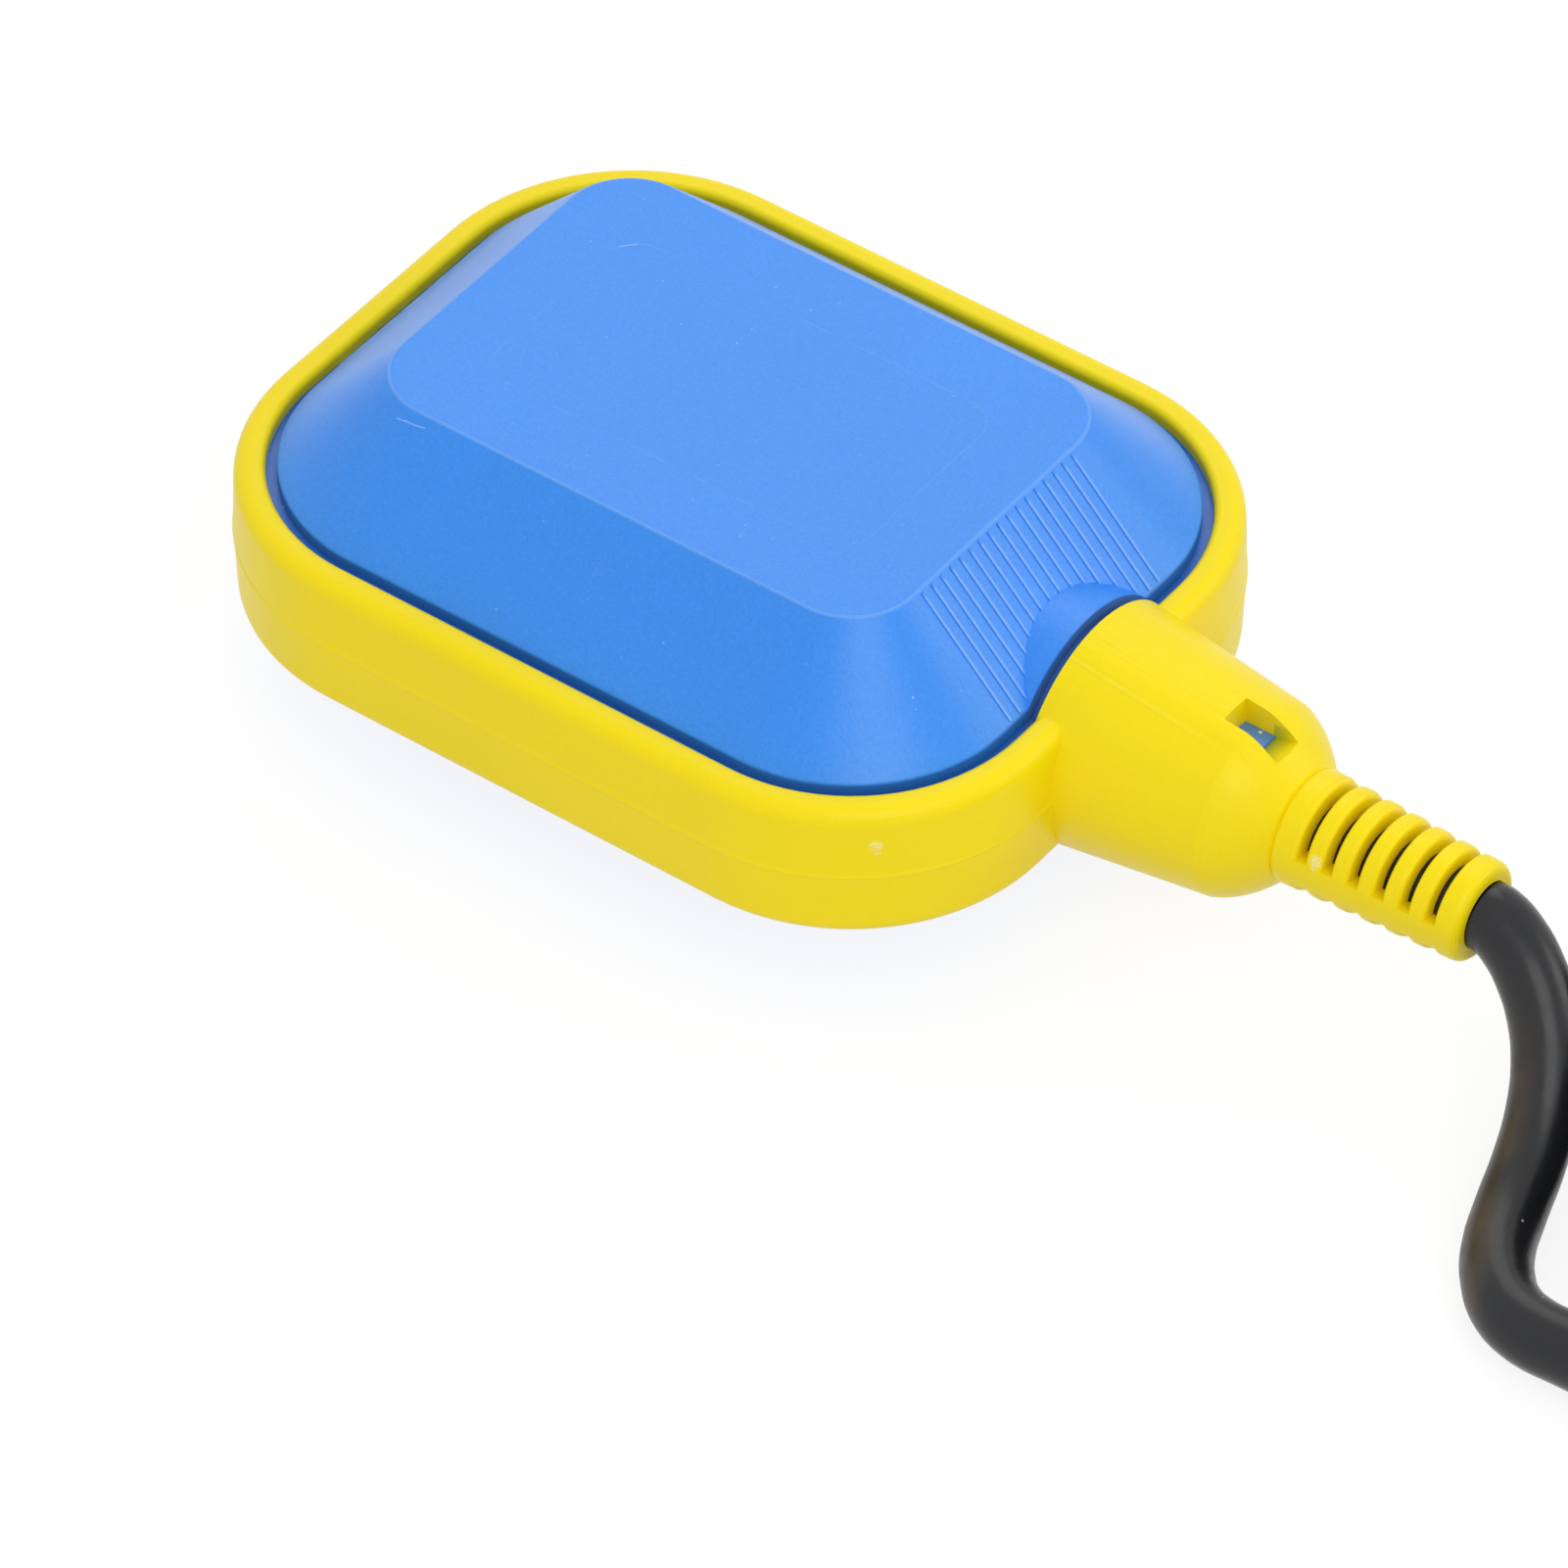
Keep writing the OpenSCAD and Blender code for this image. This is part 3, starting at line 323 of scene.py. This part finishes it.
    def done(self):
        if isinstance(self.base, bpy.types.NodeSocket):
            self.link(self.base, self.shader.inputs["Base Color"])
        else:
            self.shader.inputs["Base Color"].default_value = self.base
        if isinstance(self.rough, Field):
            self.link(self.rough.of("MULTIPLY", 1.0, clamp=True).socket, self.shader.inputs["Roughness"])
        else:
            self.shader.inputs["Roughness"].default_value = self.rough
        if self.height is not None:
            bump = self.add("ShaderNodeBump")
            bump.inputs["Strength"].default_value = 1.0
            bump.inputs["Distance"].default_value = MM
            self.link(self.height.socket, bump.inputs["Height"])
            self.link(bump.outputs[0], self.shader.inputs["Normal"])
        return self.material


def blue_shell():
    """Glossy blue polypropylene with a fine grain, dust, a painted sheen along the seam and a few
    scratches.
    """
    surface = Surface("shell_blue", srgb(44, 138, 238), 0.35)
    border = surface.border(CORE_X, CORE_Y)
    plateau = border.step(PLATEAU_R + 0.1, PLATEAU_R - 0.5)
    surface.vary(surface.noise(24, 2, 3.0), 0.10)
    surface.vary(surface.noise(0.45, 2, 11.0), 0.26)
    surface.vary(surface.noise(0.22, 2, 13.0), 0.34)
    grain = surface.noise(0.4, 3, 1.0)
    surface.raise_by(grain * 0.026)
    surface.raise_by(surface.noise(3.5, 2, 5.0) * 0.02)
    surface.raise_by(surface.noise(30, 2, 9.0) * 0.25)
    surface.roughen(surface.noise(1.2, 3, 7.0) * 0.10)
    # the faint mark that the mould's insert leaves round the middle of the flat face
    insert = surface.border(21.3, 9.8)
    worn = surface.noise(5, 2, 21.0).step(-0.08, 0.10)
    ring = insert.line(4.0, 0.03, 0.10) * plateau * worn
    surface.raise_by(ring * 0.02)
    surface.tint(ring * 0.22, srgb(136, 182, 246))
    inside = insert.step(4.05, 3.95) * plateau
    surface.vary(inside, -0.012)
    # painted highlight: a pale line along the edge of the flat face
    edge_highlight = border.line(PLATEAU_R, 0.06, 0.22)
    surface.tint(edge_highlight * 0.26, srgb(160, 200, 252))
    # painted highlight: the tops and sides of the fine ribs, which stand above the slope, are made paler
    slope = border * -RIB_FALL + (TOP_Z - MID_Z + PLATEAU_R * RIB_FALL)
    proud = ((surface.z - MID_Z).size() - slope).step(0.03, 0.10)
    from_lead = (surface.y * surface.y + (surface.z - MID_Z) * (surface.z - MID_Z)).of("SQRT")
    rib_highlight = proud * border.step(PLATEAU_R + 0.6, PLATEAU_R + 1.0) * surface.y.size().step(14.6, 14.4)
    rib_highlight = rib_highlight * surface.x.step(30, 31) * from_lead.step(14.3, 14.5)
    surface.tint(rib_highlight * 0.34, srgb(150, 196, 252))
    # the half round over the inner neck is duller than the rest
    barrel = from_lead.step(14.2, 13.8) * surface.x.step(34, 36)
    surface.tint(barrel * 0.40, srgb(104, 136, 186))
    surface.roughen(barrel * 0.10)
    # painted shade: a dark navy strip in the groove beside the band
    low = (surface.z - MID_Z).size().step(9.0, 8.5).of("MAXIMUM", surface.x.step(46.5, 46.9))
    groove_shade = border.step(FOOT_R - 0.30, FOOT_R - 0.05) * low
    surface.tint(groove_shade * 0.5, srgb(40, 70, 170))
    # dust and small pale specks
    surface.tint(surface.specks(2.6, 0.10, 0.5) * 0.45, srgb(176, 205, 248))
    surface.tint(surface.specks(7.0, 0.13, 0.4, 4.0) * 0.6, srgb(190, 212, 250))
    # painted sheen: a pale, flaky streak along the seam, mostly at the far end
    seam_sheen = border.step(FOOT_R - 1.4, FOOT_R - 1.2) * surface.x.step(-42, -45)
    seam_sheen = seam_sheen * surface.y.step(-13, -8) * surface.y.step(15, 11)
    flakes = surface.noise(0.7, 4, 41.0, (1, 6, 1)).step(0.0, 0.12)
    surface.tint(seam_sheen * flakes * 0.45, srgb(206, 224, 250))
    # a rubbed patch on the front slope
    rubbed = surface.scratch((1.6, -27.6, 38.9), (2.0, -29.9, 36.6), 0.9)
    rubbed = rubbed * surface.noise(0.25, 3, 51.0).step(0.0, 0.30)
    surface.tint(rubbed * 0.16, srgb(170, 202, 250))
    # painted light on the inner neck where the window shows it, down in the window's shade, and a painted
    # glint on it
    window_light = surface.x.step(65, 66) * surface.y.size().step(4.0, 3.0) * surface.z.step(29, 29.6)
    surface.tint(window_light * 0.45, srgb(112, 164, 236))
    # painted glint: a small white spot
    surface.tint(surface.spot((68.7, 1.48, 30.25), 0.16, 0.10), srgb(240, 240, 240))
    # scratches
    for start, end in (
        ((-28.33, -24.28, 42.15), (-27.12, -24.25, 42.38)),
        ((-27.12, -24.25, 42.38), (-25.75, -24.20, 42.43)),
        ((-25.75, -24.20, 42.43), (-24.61, -24.08, 42.56)),
        ((-25.0, 11.6, TOP_Z), (-23.7, 13.1, TOP_Z)),
    ):
        surface.tint(surface.scratch(start, end, 0.06) * 0.45, srgb(188, 212, 250))
    return surface.done()


def yellow_band():
    """Glossy yellow polypropylene, moulded over the body, with flow lines on the neck and two scuffs."""
    surface = Surface("band_yellow", srgb(247, 222, 8), 0.36, Specular_IOR_Level=0.22)
    surface.vary(surface.noise(28, 2, 2.0), 0.08)
    surface.vary(surface.noise(0.5, 2, 12.0), 0.05)
    surface.raise_by(surface.noise(0.5, 3, 1.5) * 0.008)
    surface.raise_by(surface.noise(4.5, 2, 5.5) * 0.03)
    surface.raise_by(surface.noise(26, 2, 8.5) * 0.30)
    surface.roughen(surface.noise(1.5, 3, 6.5) * 0.10)
    # flow lines along the top and the bottom of the neck
    away = (surface.z - MID_Z).size()
    strip = away.step(8.6, 9.6) * surface.y.size().step(5.6, 5.0) * surface.x.step(74.5, 71)
    streaks = surface.noise(1.0, 1, 15.0, (30, 1, 30))
    surface.raise_by(strip * streaks * 0.16)
    surface.vary(strip * streaks, 0.10)
    for offset in (4.6, -5.2):
        line = surface.y.line(offset, 0.06, 0.30) * away.step(8.6, 9.6) * surface.x.step(70, 60)
        surface.raise_by(line * 0.06)
        surface.tint(line * 0.12, srgb(255, 240, 90))
    # the blue inner neck shows through where the window's ramp runs out thin
    thin = surface.x.step(73.4, 70.6) * surface.x.step(69.9, 70.2) * surface.y.size().step(2.3, 2.0)
    thin = thin * away.step(10.4, 9.6) * (surface.z - MID_Z).step(6.0, 7.0)
    surface.tint(thin * 0.6, srgb(132, 164, 60))
    # paler where the moulding was bruised
    bruises = (
        ((43.7, -34.1, 26.3), 0.55), ((43.9, -34.1, 25.3), 0.25),
        ((81.4, -6.1, 24.1), 0.50), ((81.3, -6.1, 23.2), 0.22),
    )
    for point, radius in bruises:
        ragged = surface.noise(0.35, 3, 33.0).step(-0.16, 0.06)
        bruise = surface.spot(point, radius, 0.35) * ragged
        surface.tint(bruise * 0.7, srgb(250, 240, 170))
        surface.raise_by(bruise * surface.noise(0.4, 2, 61.0) * 0.15)
    surface.tint(surface.specks(9.0, 0.16, 0.35) * 0.4, srgb(255, 246, 170))
    surface.tint(surface.specks(12.0, 0.14, 0.35, 5.0) * 0.5, srgb(150, 128, 40))
    return surface.done()


def black_lead():
    """Smooth black PVC jacket, with a soft unevenness and dust."""
    surface = Surface("lead_black", srgb(27, 28, 31), 0.28, Specular_IOR_Level=0.40)
    surface.vary(surface.noise(9, 3, 2.5), 0.35)
    surface.roughen(surface.noise(2.2, 4, 4.5) * 0.22)
    surface.raise_by(surface.noise(0.5, 3, 1.0) * 0.008)
    surface.raise_by(surface.noise(7, 2, 3.0) * 0.10)
    surface.tint(surface.noise(14, 4, 8.0).step(0.12, 0.3) * 0.25, srgb(72, 70, 68))
    # browner on the side towards the body, where the lead first lies on the floor
    side = (surface.x + surface.y * 0.39 - 110.1).step(0.5, -3.0)
    brownish = side * surface.x.step(150, 130) * surface.y.step(-4, -16)
    surface.tint(brownish * surface.noise(6, 4, 18.0).step(-0.35, 0.2) * 0.30, srgb(112, 92, 66))
    surface.roughen(brownish * 0.08)
    surface.tint(surface.specks(5.0, 0.12, 0.4) * 0.5, srgb(130, 130, 128))
    surface.tint(surface.specks(6.0, 0.15, 0.5, 6.0) * 0.7, srgb(190, 188, 184))
    return surface.done()


def plain(name, colour, roughness, second, blotch=6.0, grain=0.4, relief=0.01, **shader):
    """A moulded, cast or stamped material with colour, gloss and relief that vary a little."""
    surface = Surface(name, srgb(*colour), roughness, **shader)
    surface.tint(surface.noise(blotch, 3, 2.0).step(-0.15, 0.35) * 0.6, srgb(*second))
    surface.vary(surface.noise(grain, 2, 6.0), 0.10)
    surface.roughen(surface.noise(blotch / 3, 3, 4.0) * 0.16)
    surface.raise_by(surface.noise(grain, 3, 8.0) * relief)
    return surface.done()


def drawn(name, colour, roughness, second, stretch, relief=0.006):
    """Bare metal with fine drawing or rolling lines."""
    surface = Surface(name, srgb(*colour), roughness, Metallic=1.0)
    lines = surface.noise(0.25, 2, 3.0, stretch)
    surface.tint(surface.noise(5, 3, 2.0).step(0.0, 0.35) * 0.5, srgb(*second))
    surface.vary(lines, 0.14)
    surface.roughen(lines * 0.18)
    surface.raise_by(lines * relief)
    return surface.done()


MATERIALS = {
    "shell_blue": blue_shell(),
    "band_yellow": yellow_band(),
    "lead_black": black_lead(),
    "core_black": plain("core_black", (34, 34, 35), 0.45, (52, 50, 48)),
    "core_brown": plain("core_brown", (104, 62, 36), 0.45, (128, 80, 50)),
    "core_blue": plain("core_blue", (42, 96, 182), 0.45, (60, 116, 200)),
    "seal_rubber": plain("seal_rubber", (34, 34, 34), 0.75, (52, 52, 50), relief=0.02),
    "resin_grey": plain("resin_grey", (124, 124, 118), 0.5, (142, 140, 130), 4.0, 0.8, 0.03),
    "cage_white": plain("cage_white", (228, 228, 220), 0.42, (216, 214, 200)),
    "case_black": plain("case_black", (36, 36, 38), 0.55, (50, 50, 50), relief=0.015),
    "cover_red": plain("cover_red", (158, 36, 30), 0.5, (178, 52, 42), relief=0.015),
    "sleeve_clear": plain(
        "sleeve_clear", (206, 214, 216), 0.3, (222, 226, 224), Transmission_Weight=0.25, IOR=1.5
    ),
    "steel": drawn("steel", (196, 198, 202), 0.32, (170, 172, 176), (12, 1, 1)),
    "ball_steel": drawn("ball_steel", (208, 210, 214), 0.10, (196, 198, 202), (3, 3, 3), 0.001),
    "brass": drawn("brass", (214, 184, 112), 0.30, (182, 150, 86), (10, 1, 1)),
    "copper": drawn("copper", (216, 140, 104), 0.34, (176, 104, 72), (14, 1, 1)),
    "tie_black": plain("tie_black", (30, 30, 31), 0.5, (46, 46, 46), relief=0.015),
}

for subpart in frame["record"]["subparts"]:
    node = frame["nodes"][subpart["node"]]
    material = MATERIALS[subpart["material_slot"]]
    if not node.material_slots:
        node.data.materials.append(material)
    for slot in node.material_slots:
        slot.material = material
lead.data.materials.append(MATERIALS["lead_black"])

# Studio: a white floor that keeps a faint shadow, white surroundings and three soft lamps

FLOOR_SIZE = 6.0
# how much light the floor throws back at the object, and how much of it the picture shows
FLOOR_ALBEDO = 0.76
FLOOR_SEEN = 0.20
FLOOR_GLOW = 0.84
FILL_LEVEL = 0.76
LAMP_DISTANCE = 1.4
# direction of each lamp from the object, its size in metres and its power in watts
LAMPS = {
    "back_softbox": ((-0.36, 0.55, 0.75), 0.80, 2.3),
    "side_softbox": ((0.70, 0.58, 0.42), 0.60, 2.2),
    "front_softbox": ((0.60, -0.42, 0.72), 0.85, 4.6),
}


def seen_directly(tree):
    """1 for rays from the camera, from gloss and through clear material, else 0."""
    path = tree.nodes.new("ShaderNodeLightPath")
    total = Field(tree, path.outputs["Is Camera Ray"])
    total = total.of("MAXIMUM", Field(tree, path.outputs["Is Glossy Ray"]))
    return total.of("MAXIMUM", Field(tree, path.outputs["Is Transmission Ray"]))


def make_floor():
    half = FLOOR_SIZE / 2
    mesh = bpy.data.meshes.new("studio_floor")
    corners = [(-half, -half, 0), (half, -half, 0), (half, half, 0), (-half, half, 0)]
    mesh.from_pydata(corners, [], [(0, 1, 2, 3)])
    floor = bpy.data.objects.new("studio_floor", mesh)
    floor.location.z = -0.0001
    bpy.context.scene.collection.objects.link(floor)
    material = bpy.data.materials.new("studio_floor")
    material.use_nodes = True
    tree = material.node_tree
    tree.nodes.remove(tree.nodes["Principled BSDF"])
    seen = seen_directly(tree)
    paper = tree.nodes.new("ShaderNodeBsdfDiffuse")
    tree.links.new((seen * (FLOOR_SEEN - FLOOR_ALBEDO) + FLOOR_ALBEDO).socket, paper.inputs["Color"])
    glow = tree.nodes.new("ShaderNodeEmission")
    tree.links.new((seen * FLOOR_GLOW).socket, glow.inputs["Strength"])
    both = tree.nodes.new("ShaderNodeAddShader")
    tree.links.new(paper.outputs[0], both.inputs[0])
    tree.links.new(glow.outputs[0], both.inputs[1])
    tree.links.new(both.outputs[0], tree.nodes["Material Output"].inputs["Surface"])
    mesh.materials.append(material)


def make_surroundings():
    world = bpy.data.worlds.new("studio")
    bpy.context.scene.world = world
    world.use_nodes = True
    tree = world.node_tree
    back = tree.nodes["Background"]
    back.inputs["Color"].default_value = (1, 1, 1, 1)
    level = seen_directly(tree) * (1.0 - FILL_LEVEL) + FILL_LEVEL
    tree.links.new(level.socket, back.inputs["Strength"])


def make_lamp(name, direction, size, power):
    data = bpy.data.lights.new(name, "AREA")
    data.shape = "SQUARE"
    data.size = size
    data.energy = power
    lamp = bpy.data.objects.new(name, data)
    lamp.location = Vector(direction).normalized() * LAMP_DISTANCE
    lamp.rotation_euler = Vector(direction).to_track_quat("Z", "Y").to_euler()
    bpy.context.scene.collection.objects.link(lamp)


make_floor()
make_surroundings()
for name, setting in LAMPS.items():
    make_lamp(name, *setting)

bpy.context.scene.view_settings.view_transform = "Standard"

bpy.context.view_layer.update()
